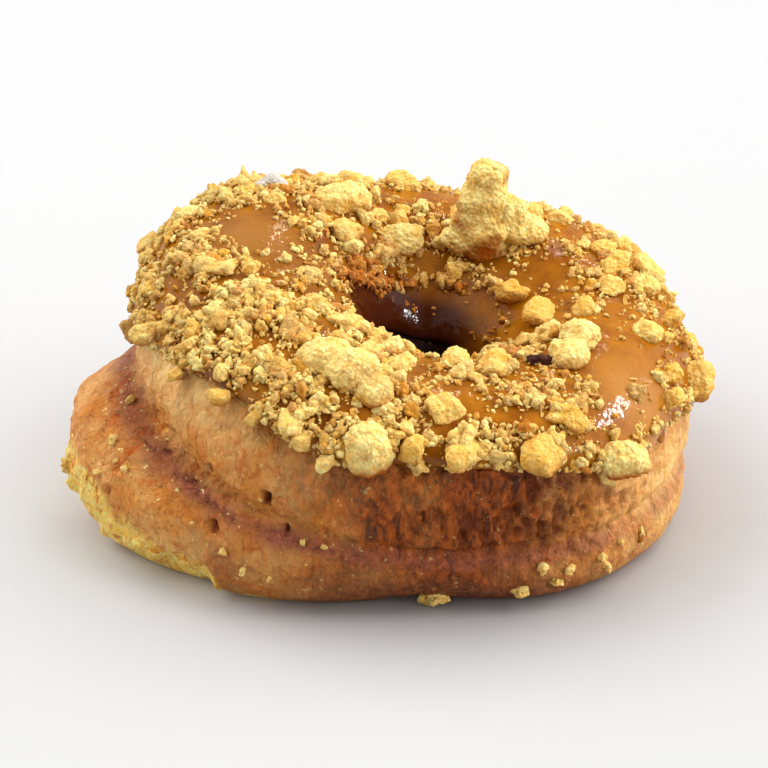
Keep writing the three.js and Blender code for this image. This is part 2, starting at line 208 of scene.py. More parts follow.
def smoothstep(x, low, high):
    share = np.clip((x - low) / (high - low), 0, 1)
    return share * share * (3 - 2 * share)


def swell(turn, places):
    return sum(by * near_turn(turn, at, spread) for at, spread, by in places)


def ring_at(turn):
    """Plan and height of the ring: outer radius, hole radius, crest height and radius, middle height."""
    body = BODY_RADIUS + BODY_OFF_X * np.cos(turn) + BODY_OFF_Y * np.sin(turn)
    height = BODY_HEIGHT - HEIGHT_LEAN * np.cos(turn) + swell(turn, HIGH_PLACES)
    outer = body + swell(turn, WIDE_PLACES)
    hole = HOLE_RADIUS + HOLE_OVAL * np.cos(2 * (turn - radians(HOLE_OVAL_TURN)))
    crest = CREST_RADIUS + CREST_SHIFT * np.cos(turn - radians(CREST_SHIFT_TURN))
    return outer, hole, height, crest, MIDDLE_SHARE * height + MIDDLE_LIFT


def crease_angle(turn):
    outer, _, _, crest, middle = ring_at(turn)
    return np.arctan2(CREASE_HEIGHT + swell(turn, CREASE_PLACES) - middle, outer - crest)


def band_reach(turn):
    past_fold = wrap(turn - radians(FOLD_TURN)) * 180 / math.pi
    fold = smoothstep(past_fold, -FOLD_STEEP, FOLD_STEEP)
    fold = fold * (1 - smoothstep(past_fold, FOLD_STEEP, FOLD_LENGTH))
    return BAND_REACH + swell(turn, BAND_PLACES) + FOLD_REACH * fold


def unevenness(turn, section):
    lumps = 0
    for by, waves, phase, across, across_phase in LOW_LUMPS:
        lumps = lumps + by * np.sin(waves * turn + phase) * np.sin(across * section + across_phase)
    for at, level, spread, by in CRAGS:
        aside = wrap(turn - radians(at))
        above = wrap(section - radians(level))
        lumps = lumps + by * bell(np.hypot(aside, above), radians(spread))
    return lumps


def skin(turn, section, lift=0.0):
    """Points on the dough's skin, or lifted off it."""
    turn, section = np.broadcast_arrays(np.asarray(turn, float), np.asarray(section, float))
    outer, hole, height, crest, middle = ring_at(turn)
    c, s = np.cos(section), np.sin(section)
    across = np.where(c > 0, outer - crest, crest - hole)
    along = np.where(s > 0, height - middle, middle + FOOT_CUT)
    funnel = SQUARE_HOLE_TOP - FUNNEL_SOFTENING * np.cos(turn - radians(FUNNEL_TURN))
    outer_top = SQUARE_OUTER_TOP + SQUARE_OUTER_LEAN * np.cos(turn - radians(SQUARE_LEAN_TURN))
    outer_square = np.where(s > 0, outer_top, SQUARE_OUTER_FOOT + swell(turn, FOOT_PLACES))
    hole_square = np.where(s > 0, funnel, SQUARE_HOLE_FOOT)
    square = np.where(c > 0, outer_square, hole_square)
    oval = (np.abs(c / across) ** square + np.abs(s / along) ** square) ** (-1 / square)
    level = wrap(section)
    above_crease = level - crease_angle(turn)
    band = band_reach(turn) * (1 - smoothstep(above_crease, *BAND_TOP_FADE))
    band = band * smoothstep(level, *BAND_FOOT_FADE)
    groove = CREASE_DEPTH * bell(above_crease - CREASE_WIDTH, CREASE_WIDTH)
    free = oval + band - groove + unevenness(turn, section)
    floor = np.where(s < 0, middle / np.maximum(-s, 1e-9), np.inf)
    reach = np.minimum(free, floor) + lift
    radius = crest + reach * c
    return np.stack([radius * np.cos(turn), radius * np.sin(turn), middle + reach * s], -1)


def icing_edge(turn):
    ripple = sum(by * np.sin(waves * turn + phase) for by, waves, phase in EDGE_RIPPLES)
    return radians(ICING_EDGE + swell(turn, ICING_DRIPS) + ripple)


def icing_top(turn, section):
    """Height of the icing's top over the dough."""
    from_outer = (section - icing_edge(turn)) / OUTER_FADE
    from_inner = (radians(ICING_INNER_EDGE) - section) / INNER_FADE
    share = np.clip(np.minimum(from_outer, from_inner), 0, 1)
    return FIT_GAP + lerp(ICING_RIM, ICING_THICKNESS, np.sqrt(share * (2 - share)))


def section_rows(turn, rows):
    """Section angles from the crease up, over the top, down the hole and back out to the crease."""
    crease = crease_angle(turn)[:, None]
    edge = icing_edge(turn)[:, None]
    inner = radians(ICING_INNER_EDGE)
    foot = 1.5 * math.pi
    share = {name: np.arange(count)[None, :] / count for name, count in rows.items()}
    return np.concatenate([
        lerp(crease, edge, share["side"] ** CREASE_CROWDING),
        lerp(edge, inner, share["iced"]),
        lerp(inner, foot, share["hole"]) + 0 * crease,
        lerp(crease + FULL_TURN, foot, (1 - share["band"]) ** CREASE_CROWDING),
    ], axis=1)


def turns(steps):
    return np.arange(steps) / steps * FULL_TURN


# Noise, in millimetres

# Odd factors that mix a cell's place and a seed into 32 scrambled bits
CELL_FACTORS = (374761393, 668265263, 1442695041)
SEED_FACTOR = 974634777
WORD = 0xFFFFFFFF


def hashed(cell, seed):
    """A number from 0 to 1 for each cell of a lattice."""
    mixed = sum(cell[..., axis] * factor for axis, factor in enumerate(CELL_FACTORS))
    mixed = (mixed + seed * SEED_FACTOR) & WORD
    mixed = ((mixed ^ (mixed >> 13)) * 1274126177) & WORD
    mixed = ((mixed ^ (mixed >> 16)) * 2246822519) & WORD
    return ((mixed ^ (mixed >> 13)) & 0xFFFF) / 0xFFFF


def noise(points, size, seed=0):
    """Smooth noise from -1 to 1 whose lumps are about size wide. size may be three numbers."""
    scaled = points / np.asarray(size, float)
    base = np.floor(scaled).astype(np.int64)
    part = scaled - base
    weight = part * part * (3 - 2 * part)
    total = 0
    for corner in np.ndindex(2, 2, 2):
        step = np.array(corner)
        share = np.prod(np.where(step, weight, 1 - weight), axis=-1)
        total = total + share * hashed(base + step, seed)
    return 2 * total - 1


def fractal(points, size, octaves, seed=0):
    size = np.asarray(size, float)
    return sum(noise(points, size / 2**k, seed + k) / 2**k for k in range(octaves))


def granules(points, size, seed=0):
    """How near each point is to the middle of its granule, from 1 in the middle down, and a number
    from 0 to 1 that belongs to the granule."""
    scaled = points / size
    base = np.floor(scaled).astype(np.int64)
    nearest = np.full(points.shape[:-1], np.inf)
    owner = np.zeros(points.shape[:-1])
    for step in np.ndindex(3, 3, 3):
        cell = base + np.array(step) - 1
        jitter = np.stack([hashed(cell, seed + k) for k in range(3)], -1)
        distance = np.linalg.norm(cell + jitter - scaled, axis=-1)
        closer = distance < nearest
        owner = np.where(closer, hashed(cell, seed + 3), owner)
        nearest = np.where(closer, distance, nearest)
    return 1 - nearest, owner


# Numbers that depend on the seed alone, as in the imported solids

def seeded_random(seed):
    state = seed

    def draw():
        nonlocal state
        state = (state + 0x6D2B79F5) & WORD
        t = ((state ^ (state >> 15)) * (1 | state)) & WORD
        t = ((t + (((t ^ (t >> 7)) * (61 | t)) & WORD)) & WORD) ^ t
        return (t ^ (t >> 14)) / 2**32

    return draw


def chunk_lumps(chunk):
    turn, section, lumps = chunk
    place = skin(radians(turn), radians(section), ICING_THICKNESS)
    return [(place + np.array(lump[:3]), np.array(lump[3:])) for lump in lumps]


def crumb_places():
    """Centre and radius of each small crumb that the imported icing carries."""
    draw = seeded_random(CRUMB_SEED)
    lumps = [lump for chunk in CHUNKS for lump in chunk_lumps(chunk)]

    def place(turn, section, radius):
        return skin(radians(turn), radians(section), ICING_THICKNESS + CRUMB_LIFT * radius), radius

    def is_free(centre, radius, placed):
        for x, y, rx, ry in BARE_PATCHES:
            if math.hypot((centre[0] - x) / rx, (centre[1] - y) / ry) <= 1:
                return False
        for middle, radii in lumps:
            if np.linalg.norm(middle - centre) <= radii.max() + CRUMB_SPACING * radius:
                return False
        for other, size in placed:
            if np.linalg.norm(other - centre) <= CRUMB_SPACING * (size + radius):
                return False
        return True

    crumbs = [place(*chosen) for chosen in CHOSEN_CRUMBS]
    wanted = len(CHOSEN_CRUMBS) + CRUMB_COUNT
    for n in range(CRUMB_TRIES):
        if len(crumbs) == wanted:
            break
        share = (len(crumbs) - len(CHOSEN_CRUMBS)) / CRUMB_COUNT
        inner, outer = math.cos(radians(CRUMB_INNERMOST)), math.cos(radians(CRUMB_LOWEST))
        section = math.degrees(math.acos(lerp(inner, outer, math.sqrt(draw()))))
        centre, radius = place(n * GOLDEN_ANGLE, section, lerp(CRUMB_LARGEST, CRUMB_SMALLEST, share))
        if is_free(centre, radius, crumbs):
            crumbs.append((centre, radius))
    return crumbs


# The hole's axis in the frame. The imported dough's own facets say where it lies.
coarse_turns = turns(CAD_TURN_STEPS)
coarse = skin(coarse_turns[:, None], section_rows(coarse_turns, CAD_ROWS))
dough_low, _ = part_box("dough")
AXIS = np.array(dough_low) / MM - coarse.reshape(-1, 3).min(0)


# Meshes

def make_piece(name, points, faces, material, attributes=None, smooth=True):
    """A mesh object from points about the hole's axis and faces that all have as many corners."""
    points = np.asarray(points, float).reshape(-1, 3)
    faces = np.asarray(faces, np.int32)
    count, corners = faces.shape
    mesh = bpy.data.meshes.new(name)
    mesh.vertices.add(len(points))
    mesh.vertices.foreach_set("co", ((points + AXIS) * MM).ravel())
    mesh.loops.add(count * corners)
    mesh.loops.foreach_set("vertex_index", faces.ravel())
    mesh.polygons.add(count)
    mesh.polygons.foreach_set("loop_start", np.arange(count) * corners)
    mesh.polygons.foreach_set("use_smooth", np.full(count, smooth))
    for key, values in (attributes or {}).items():
        layer = mesh.attributes.new(key, "FLOAT", "POINT")
        layer.data.foreach_set("value", np.asarray(values, float).ravel())
    mesh.update(calc_edges=True)
    mesh.validate()
    mesh.materials.append(material)
    piece = bpy.data.objects.new(name, mesh)
    bpy.context.scene.collection.objects.link(piece)
    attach(piece, "root")
    return piece


def ring_faces(steps, rows):
    """Quads of a closed surface swept round the hole."""
    i, j = np.meshgrid(np.arange(steps), np.arange(rows), indexing="ij")
    next_i, next_j = (i + 1) % steps, (j + 1) % rows
    corners = [i * rows + j, next_i * rows + j, next_i * rows + next_j, i * rows + next_j]
    return np.stack(corners, -1).reshape(-1, 4)


def ball(divisions):
    """Points and triangles of a unit icosphere."""
    shape = bmesh.new()
    bmesh.ops.create_icosphere(shape, subdivisions=divisions, radius=1)
    points = np.array([v.co for v in shape.verts])
    faces = np.array([[v.index for v in f.verts] for f in shape.faces])
    shape.free()
    return points, faces


# Materials

def colour(red, green, blue):
    """A colour given as it looks on screen, 0 to 255."""
    def linear(value):
        value /= 255
        return value / 12.92 if value <= 0.04045 else ((value + 0.055) / 1.055) ** 2.4

    return (linear(red), linear(green), linear(blue), 1)


def grey(value):
    return (value, value, value, 1)


class Shader:
    """A node material, with short calls for the nodes that the materials share."""

    def __init__(self, name):
        self.material = bpy.data.materials.new(name)
        self.material.use_nodes = True
        self.tree = self.material.node_tree
        self.surface = self.tree.nodes["Principled BSDF"]
        self.place = self.tree.nodes.new("ShaderNodeTexCoord").outputs["Object"]

    def link(self, value, socket):
        if isinstance(value, bpy.types.NodeSocket):
            self.tree.links.new(value, socket)
        else:
            socket.default_value = value

    def attribute(self, name):
        node = self.tree.nodes.new("ShaderNodeAttribute")
        node.attribute_name = name
        return node.outputs["Fac"]

    def stretched(self, factors):
        node = self.tree.nodes.new("ShaderNodeVectorMath")
        node.operation = "MULTIPLY"
        self.link(self.place, node.inputs[0])
        node.inputs[1].default_value = factors
        return node.outputs[0]

    def noise(self, size, detail=3, rough=0.5, place=None, distortion=0.0):
        """Noise from 0 to 1 whose lumps are about size millimetres wide."""
        node = self.tree.nodes.new("ShaderNodeTexNoise")
        self.link(place or self.place, node.inputs["Vector"])
        node.inputs["Scale"].default_value = 1 / (size * MM)
        node.inputs["Detail"].default_value = detail
        node.inputs["Roughness"].default_value = rough
        node.inputs["Distortion"].default_value = distortion
        return node.outputs["Fac"]

    def cells(self, size):
        node = self.tree.nodes.new("ShaderNodeTexVoronoi")
        self.link(self.place, node.inputs["Vector"])
        node.inputs["Scale"].default_value = 1 / (size * MM)
        return node.outputs["Distance"]

    def spread(self, value, low, high, to_low=0.0, to_high=1.0):
        node = self.tree.nodes.new("ShaderNodeMapRange")
        self.link(value, node.inputs["Value"])
        ends = {"From Min": low, "From Max": high, "To Min": to_low, "To Max": to_high}
        for key, end in ends.items():
            node.inputs[key].default_value = end
        return node.outputs["Result"]

    def math(self, kind, a, b):
        node = self.tree.nodes.new("ShaderNodeMath")
        node.operation = kind
        node.use_clamp = True
        self.link(a, node.inputs[0])
        self.link(b, node.inputs[1])
        return node.outputs[0]

    def mix(self, share, a, b, kind="MIX"):
        node = self.tree.nodes.new("ShaderNodeMix")
        node.data_type = "RGBA"
        node.blend_type = kind
        self.link(share, node.inputs[0])
        self.link(a, node.inputs[6])
        self.link(b, node.inputs[7])
        return node.outputs[2]

    def bump(self, height, depth, under=None):
        node = self.tree.nodes.new("ShaderNodeBump")
        self.link(height, node.inputs["Height"])
        node.inputs["Distance"].default_value = depth * MM
        if under is not None:
            self.link(under, node.inputs["Normal"])
        return node.outputs["Normal"]

    def set(self, **values):
        """Sets the surface's sockets, named with _ for a space."""
        for key, value in values.items():
            self.link(value, self.surface.inputs[key.replace("_", " ")])


CRUST_MATT = 0.46
CRUST_GLOSSY = 0.16


def crust_colour(s, blotch, mottle, streak, grain):
    """The crust's colour from four noises and the shares that the mesh carries."""
    tan = s.mix(s.spread(blotch, 0.35, 0.65), colour(228, 142, 44), colour(236, 178, 100))
    tan = s.mix(s.spread(mottle, 0.48, 0.66, 0, 0.8), tan, colour(204, 100, 18))
    brown = s.mix(s.spread(streak, 0.38, 0.62), colour(76, 28, 0), colour(172, 82, 2))
    base = s.mix(s.attribute("dark"), tan, brown)
    base = s.mix(s.spread(grain, 0.52, 0.7, 0, 0.5), base, colour(150, 66, 14))
    # Painted shade: darker brown in the crinkles' grooves
    base = s.mix(s.attribute("groove"), base, colour(104, 42, 2))
    # Paler crust: partly dust, and partly a painted sheen below the icing on the left
    pale = s.mix(s.spread(mottle, 0.35, 0.65), colour(255, 222, 146), colour(238, 172, 88))
    base = s.mix(s.attribute("pale"), base, pale)
    base = s.mix(s.attribute("dull"), base, colour(130, 72, 40))
    belt = s.mix(s.spread(grain, 0.3, 0.7), colour(94, 36, 22), colour(178, 98, 66))
    patches = s.math("MULTIPLY", s.attribute("belt"), s.spread(blotch, 0.25, 0.55, 0.6, 1.0))
    base = s.mix(patches, base, belt)
    torn = s.mix(s.spread(grain, 0.35, 0.65), colour(255, 190, 50), colour(255, 238, 140))
    torn = s.mix(s.spread(mottle, 0.52, 0.64), torn, colour(214, 118, 14))
    base = s.mix(s.attribute("torn"), base, torn)
    # The inside mark is painted shade: near black deep in the hole
    marks = {"fissure": colour(204, 90, 10), "pore": colour(112, 36, 6), "inside": colour(44, 17, 8)}
    for mark, shade in marks.items():
        base = s.mix(s.attribute(mark), base, shade)
    flecks = s.math("MULTIPLY", s.spread(s.noise(0.9, 2, 0.5), 0.66, 0.74), s.attribute("dusty"))
    return s.mix(flecks, base, colour(250, 222, 140))


def crust_material():
    """Fried crust: tan to deep orange-brown, red-brown along the crease, yellow where it is torn, with
    painted shade in its crinkles' grooves and deep in the hole, and paler below the icing on the left,
    partly dust and partly painted sheen.
    """
    s = Shader("fried_crust")
    blotch = s.noise(6.0, 3, 0.55)
    mottle = s.noise(2.2, 5, 0.68, distortion=1.2)
    streak = s.noise(1.3, 4, 0.6, s.stretched((1, 1, 0.4)), 1.0)
    grain = s.noise(0.8, 4, 0.65)
    relief = s.bump(mottle, 0.6, s.bump(grain, 0.3))
    s.set(
        Base_Color=crust_colour(s, blotch, mottle, streak, grain),
        Roughness=s.mix(s.attribute("glossy"), grey(CRUST_MATT), grey(CRUST_GLOSSY)),
        Specular_IOR_Level=0.25,
        Subsurface_Weight=0.06,
        Subsurface_Radius=(1.0, 0.4, 0.15),
        Subsurface_Scale=1.0 * MM,
        Normal=s.bump(streak, 0.8, relief),
    )
    return s.material


def caramel_material():
    """Wet caramel: golden brown, with a painted sheen in places, and dark with painted shade in the
    hole.
    """
    s = Shader("caramel_icing")
    cloud = s.noise(5.0, 3, 0.5)
    base = s.mix(s.spread(cloud, 0.35, 0.65), colour(130, 70, 6), colour(168, 104, 12))
    # Painted sheen: a paler tan where a soft light would reflect
    base = s.mix(s.attribute("painted_sheen"), base, colour(170, 114, 48))
    # Painted shade: dark brown in the hole, and darker caramel in places, partly wet and partly painted
    # shade
    base = s.mix(s.attribute("deep"), base, colour(64, 24, 8))
    ripple = s.bump(s.noise(1.6, 3, 0.5), 0.22)
    s.set(
        Base_Color=base,
        Roughness=0.08,
        Specular_IOR_Level=0.22,
        Subsurface_Weight=0.25,
        Subsurface_Radius=(1.0, 0.45, 0.12),
        Subsurface_Scale=1.5 * MM,
        Normal=ripple,
    )
    return s.material


def crumble_material(name, pale, golden, stained):
    """Baked crumble: pale granules, with golden painted shade between them. The stain comes from the
    caramel below.
    """
    s = Shader(name)
    cells = s.cells(0.6)
    # The tint share is the crumbs' own golden tone, with painted golden shade in their hollows
    base = s.mix(s.attribute("tint"), pale, golden)
    # Painted shade: golden between the granules
    base = s.mix(s.spread(cells, 0.35, 0.8, 0, 0.45), base, golden)
    base = s.mix(s.spread(s.noise(1.1, 3, 0.6), 0.5, 0.68, 0, 0.5), base, golden)
    base = s.mix(s.attribute("stain"), base, stained)
    fine = s.bump(s.noise(0.5, 4, 0.65), 0.34)
    s.set(
        Base_Color=base,
        Roughness=0.7,
        Specular_IOR_Level=0.15,
        Subsurface_Weight=0.1,
        Subsurface_Radius=(1.0, 0.7, 0.3),
        Subsurface_Scale=0.7 * MM,
        Normal=s.bump(s.spread(cells, 0.1, 0.9, 1, 0), 0.26, fine),
    )
    return s.material


crust = crust_material()
caramel = caramel_material()
crumble = crumble_material(
    "baked_crumble", colour(248, 230, 150), colour(226, 166, 62), colour(172, 90, 12))


# Dough

# Marks on the crust: the turn where each is strongest and its spread
BELT_TURN = (225, 75)
BELT_SAG_TURN = (223, 16)
GLOSSY_TURN = (292, 26)
LEATHERY_TURN = (214, 24)
PALE_LEFT_TURN = (203, 26)
PALE_RIGHT_TURN = (338, 20)
DARK_FRONT_TURN = (278, 33)
DARK_REAR_TURN = (80, 70)
DUSTY_TURN = (205, 35)

# Their strengths from 0 to 1. Widths and heights are section angles in radians.
BELT_LEAST = 0.45
BELT_DROP = 0.02
BELT_SAG = 0.06
BELT_WIDTH = 0.075
BELT_RAGGED = 0.16
BELT_RAGGED_WIDTH = 0.18
GLOSSY_HEIGHT = 0.05
GLOSSY_WIDTH = 0.5
LEATHERY_HEIGHT = 0.02
LEATHERY_WIDTH = 0.22
PALE_LEFT = 0.9
PALE_LEFT_WIDTH = 0.34
PALE_RIGHT = 0.6
PALE_RIGHT_DROP = 0.2
PALE_RIGHT_WIDTH = 0.6
PALE_PATCHY = 0.4
DARK_LEAST = 0.1
DARK_FRONT = 0.9
DARK_REAR = 0.55
DARK_PATCHY = 0.25
DULL = 0.75
DULL_BELOW = (0.1, 0.35)
DUSTY_LEAST = 0.3
# Painted shade in the hole: where it fades in and out, as section angles from the hole's inner wall
INSIDE_START = (-0.75, -0.45)
INSIDE_END = (0.8, 1.3)

# Relief in the crust: noises by size, octaves and seed, then heights
WAVES = ((3.0, 3.0, 5.5), 3, 21)
CRINKLES = ((1.9, 1.9, 3.4), 3, 31)
LEATHER = (1.7, 3, 41)
FINE = (0.9, 2, 51)
RAGGED = (2.6, 3, 71)
WAVE_HEIGHT = 0.308
FINE_HEIGHT = 0.05
GROOVE_LEAST = 0.2
GROOVE_DEPTH = 1.5
LEATHER_DEPTH = 1.5
WRINKLE_HEIGHT = 0.2
WRINKLE_WOBBLE = 0.5
TORN_GRANULE = 1.5
TORN_GRANULE_MIDDLE = 0.45
TORN_HEIGHT = 0.7
SIDE_FADE = (-0.2, 0.3)
FLOOR_FADE = (0.2, 2.5)

# Cracks and pores in the crust: each from one place to another (turn, section angle), its half
# width and its depth
CRACKS = [
    ((189, 12), (194, 7), 0.4, 0.9),
    ((194, 7), (200, 3.5), 0.45, 1.0),
    ((206, 5), (208, -4), 0.5, 1.1),
    ((208, -4), (207.5, -11), 0.45, 1.0),
]
PORES = [
    ((239.0, 10), (239.2, 7), 0.5, 1.6),
    ((228.5, -9.5), (229.2, -11), 0.7, 1.6),
    ((242.0, -5.2), (242.2, -7), 0.4, 1.2),
    ((226.0, 12), (226.3, 10.5), 0.35, 1.0),
]
CUT_WOBBLE = 0.3
CUT_SOFTNESS = 1.5
RIM_PLACE = 1.7
RIM_WIDTH = 0.45
RIM_HEIGHT = 0.3

# Places where the lobe is torn: turn, section angle, and the spread of each
TORN_PLACES = [
    (193, -15, 9, 9), (200, -14, 8, 7), (203, -24, 10, 12), (211, -32, 10, 13), (221, -37, 9, 11),
    (184, -26, 9, 10), (231, -46, 9, 9),
]
TORN_RAGGED = 0.22
TORN_FADE = (0.38, 0.62)

# Round wrinkles in the crust: turn, section angle, radius, distance from one arc to the next
WRINKLES = [(271, 9, 6.0, 2.3), (296, 14, 5.0, 1.9)]


def distance_to_stroke(points, start, end):
    """Distance from each point to the stroke on the skin between two places."""
    a = skin(radians(start[0]), radians(start[1]))
    b = skin(radians(end[0]), radians(end[1]))
    along = np.clip(((points - a) @ (b - a)) / ((b - a) @ (b - a)), 0, 1)
    return np.linalg.norm(points - a - along[..., None] * (b - a), axis=-1)


def torn_share(turn, section, points):
    """Where the crust is torn off and the crumb below shows."""
    level = wrap(section)
    share = 0
    for at, height, wide, tall in TORN_PLACES:
        aside = wrap(turn - radians(at)) / radians(wide)
        above = (level - radians(height)) / radians(tall)
        share = np.maximum(share, bell(np.hypot(aside, above), 1.0))
    return smoothstep(share + TORN_RAGGED * fractal(points, 3.0, 3, 5), *TORN_FADE)


def belt_share(turn, above_crease, base):
    """The dark leathery belt along the crease, which hangs a little below the fold."""
    drop = BELT_DROP + BELT_SAG * near_turn(turn, *BELT_SAG_TURN)
    belt = bell(above_crease + drop, BELT_WIDTH) * lerp(BELT_LEAST, 1, near_turn(turn, *BELT_TURN))
    ragged = BELT_RAGGED * fractal(base, 4.0, 3, 9) * bell(above_crease, BELT_RAGGED_WIDTH)
    return np.clip(belt + ragged, 0, 1)


def pale_and_sheen_share(turn, section, base):
    """Paler crust below the icing on the left, partly dust and partly a painted sheen, and paler crust
    low on the right.
    """
    below_icing = bell(section - icing_edge(turn), PALE_LEFT_WIDTH)
    pale = PALE_LEFT * near_turn(turn, *PALE_LEFT_TURN) * below_icing
    at_side = bell(wrap(section) + PALE_RIGHT_DROP, PALE_RIGHT_WIDTH)
    pale = pale + PALE_RIGHT * near_turn(turn, *PALE_RIGHT_TURN) * at_side
    return np.clip(pale + PALE_PATCHY * pale * fractal(base, 4.0, 3, 87), 0, 1)


def crust_relief(base, groove, leathery):
    """Waves, grooves, leather and round wrinkles."""
    leather = 1 - np.abs(fractal(base, *LEATHER))
    relief = WAVE_HEIGHT * fractal(base, *WAVES) + FINE_HEIGHT * fractal(base, *FINE)
    relief = relief - GROOVE_DEPTH * groove - LEATHER_DEPTH * (1 - leather) * leathery
    for at, height, radius, spacing in WRINKLES:
        distance = np.linalg.norm(base - skin(radians(at), radians(height)), axis=-1)
        distance = distance + WRINKLE_WOBBLE * noise(base, 2.5, 77)
        ripple = np.cos(FULL_TURN * distance / spacing)
        relief = relief + WRINKLE_HEIGHT * ripple * bell(distance, radius)
    return relief


def torn_relief(base):
    """The ragged crumb of the torn places."""
    crumbly, _ = granules(base, TORN_GRANULE, 61)
    return crumbly - TORN_GRANULE_MIDDLE + TORN_HEIGHT * fractal(base, *RAGGED)


def cut(relief, base, strokes):
    """The relief with strokes cut into it, and how far into a stroke each point lies."""
    share = np.zeros(relief.shape)
    for start, end, half_width, depth in strokes:
        distance = distance_to_stroke(base, start, end) + CUT_WOBBLE * noise(base, 1.2, 81)
        inside = 1 - smoothstep(distance, 0, CUT_SOFTNESS * half_width)
        rim = bell(distance - RIM_PLACE * half_width, RIM_WIDTH)
        relief = relief - depth * inside + RIM_HEIGHT * rim
        share = np.maximum(share, inside)
    return relief, share


def crust_attributes(turn, section, base, above_crease):
    """What the crust's colours need, apart from what its relief needs too."""
    front = near_turn(turn, *DARK_FRONT_TURN)
    rear = DARK_REAR * near_turn(turn, *DARK_REAR_TURN)
    dark = DARK_LEAST + DARK_FRONT * front + rear + DARK_PATCHY * fractal(base, 7.0, 3, 91)
    past_hole = wrap(section - math.pi)
    dusty = lerp(DUSTY_LEAST, 1, near_turn(turn, *DUSTY_TURN))
    return {
        "dark": np.clip(dark, 0, 1),
        "belt": belt_share(turn, above_crease, base),
        "pale": pale_and_sheen_share(turn, section, base),
        "dull": DULL * front * smoothstep(-above_crease, *DULL_BELOW),
        # Painted shade deep in the hole
        "inside": smoothstep(past_hole, *INSIDE_START) * (1 - smoothstep(past_hole, *INSIDE_END)),
        "dusty": np.clip(dusty, 0, 1),
    }


def make_dough():
    turn = turns(DOUGH_TURN_STEPS)
    section = section_rows(turn, DOUGH_ROWS)
    turn = np.broadcast_to(turn[:, None], section.shape)
    base = skin(turn, section)
    above_crease = wrap(section) - crease_angle(turn)

    glossy = near_turn(turn, *GLOSSY_TURN) * bell(wrap(section) - GLOSSY_HEIGHT, GLOSSY_WIDTH)
    leathery = near_turn(turn, *LEATHERY_TURN) * bell(above_crease - LEATHERY_HEIGHT, LEATHERY_WIDTH)
    groove = np.abs(fractal(base, *CRINKLES)) * (GROOVE_LEAST + glossy)
    torn = torn_share(turn, section, base)
    relief = lerp(crust_relief(base, groove, leathery), torn_relief(base), torn)
    relief, fissure = cut(relief, base, CRACKS)
    relief, pore = cut(relief, base, PORES)

    on_side = smoothstep(np.cos(section), *SIDE_FADE)
    off_floor = smoothstep(base[..., 2], *FLOOR_FADE)
    points = skin(turn, section, relief * on_side * off_floor)
    attributes = crust_attributes(turn, section, base, above_crease) | {
        "torn": torn,
        "glossy": np.clip(glossy + leathery, 0, 1),
        # The groove share also paints shade into the crinkles' grooves
        "groove": np.clip(1.7 * groove - 0.35, 0, 0.85),
        "fissure": fissure,
        "pore": pore,
    }
    faces = ring_faces(*section.shape)
    piece = make_piece("dough_crust", points, faces, crust, attributes)
    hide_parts("dough")


# Icing

# Where the crumble lies thick or thin, in plan from the hole's axis: x, y, spread, share
COVER_MEAN = 0.42
COVER_PLACES = [
    (-36, -6, 13, 0.6), (-22, -24, 15, 0.45), (-6, -30, 12, 0.12), (-32, 12, 9, 0.3),
    (-12, 12, 8, 0.25), (-12, -12, 9, 0.35), (33, 14, 9, 0.35), (16, -28, 8, 0.2),
    (-30, -26, 7, 0.4), (-20, -34, 7, 0.45), (-10, -38, 6, 0.4),
    (28, -12, 12, -0.35), (24, 4, 9, -0.15), (18, 28, 12, -0.2), (11, 6, 8, -0.45),
    (0, -40, 6, 0.4), (12, -39, 6, 0.5), (24, -35, 6, 0.5), (34, -27, 6, 0.4), (39, -15, 5, 0.3),
    (41, 0, 5, 0.3),
]
COVER_LEAST = 0.002
COVER_PATCHY = 0.3
BARE_SHARE = 0.93
GAP_FADE = (-0.4, 0.3)
GAP_COVER = 0.1

# Crumbs keep off the hole, and further off its near side
HOLE_MARGIN = (8.6, 10.2)
HOLE_NEAR_TURN = (250, 70)
HOLE_NEAR_MARGIN = 3.0

# Where the caramel has a painted sheen, in plan: x, y, spread. Where it is darker, partly wet and partly
# painted shade, as well as the painted shade in the hole, the same.
SHEEN_PLACES = [(-26, 1, 7), (-37, -15, 4), (29, -21, 6)]
DEEP_PLACES = [(-12, -8, 28), (8, 14, 5)]
DEEP_SHARE = 0.4
DEEP_RADIUS = (-12.5, -8.5)
LIT_WALL_TURN = (10, 45)
ICING_FLOW = 0.16
EDGE_WOBBLE = 1.1
UNDERSIDE_LIFT = 0.12


def cover_share(points):
    """How thick the crumble lies, 0 to 1."""
    x, y = points[..., 0], points[..., 1]
    thick = (by * bell(in_plan(points, cx, cy), spread) for cx, cy, spread, by in COVER_PLACES)
    share = COVER_MEAN + sum(thick)
    for cx, cy, rx, ry in BARE_PATCHES:
        share = share * (1 - BARE_SHARE * bell(np.hypot((x - cx) / rx, (y - cy) / ry), 0.95) ** 0.8)
    share = share + COVER_PATCHY * fractal(points, 5.0, 3, 101)
    gaps = smoothstep(fractal(points, 2.6, 2, 105), *GAP_FADE)
    rim = np.hypot(x, y) - HOLE_NEAR_MARGIN * near_turn(np.arctan2(y, x), *HOLE_NEAR_TURN)
    share = share * lerp(GAP_COVER, 1, gaps) * smoothstep(rim, *HOLE_MARGIN)
    return np.clip(share, COVER_LEAST, 1)


def icing_grid(rows, lift_at):
    """Points over the icing, from its edge at row 0 to the hole at row 1."""
    turn = turns(ICING_TURN_STEPS)[:, None]
    edge = icing_edge(turn) + radians(EDGE_WOBBLE) * noise(skin(turn, icing_edge(turn)), 2.6, 111)
    share = np.asarray(rows)[None, :]
    section = lerp(edge, radians(ICING_INNER_EDGE), share)
    turn = np.broadcast_to(turn, section.shape)
    return skin(turn, section, lift_at(turn, section))


def icing_surface(turn, section):
    """Height of the icing's top over the dough, with its flow."""
    base = skin(turn, section)
    flow = ICING_FLOW * fractal(base, 6.0, 2, 121)
    return icing_top(turn, section) + flow * smoothstep(section - icing_edge(turn), 0, 0.3)


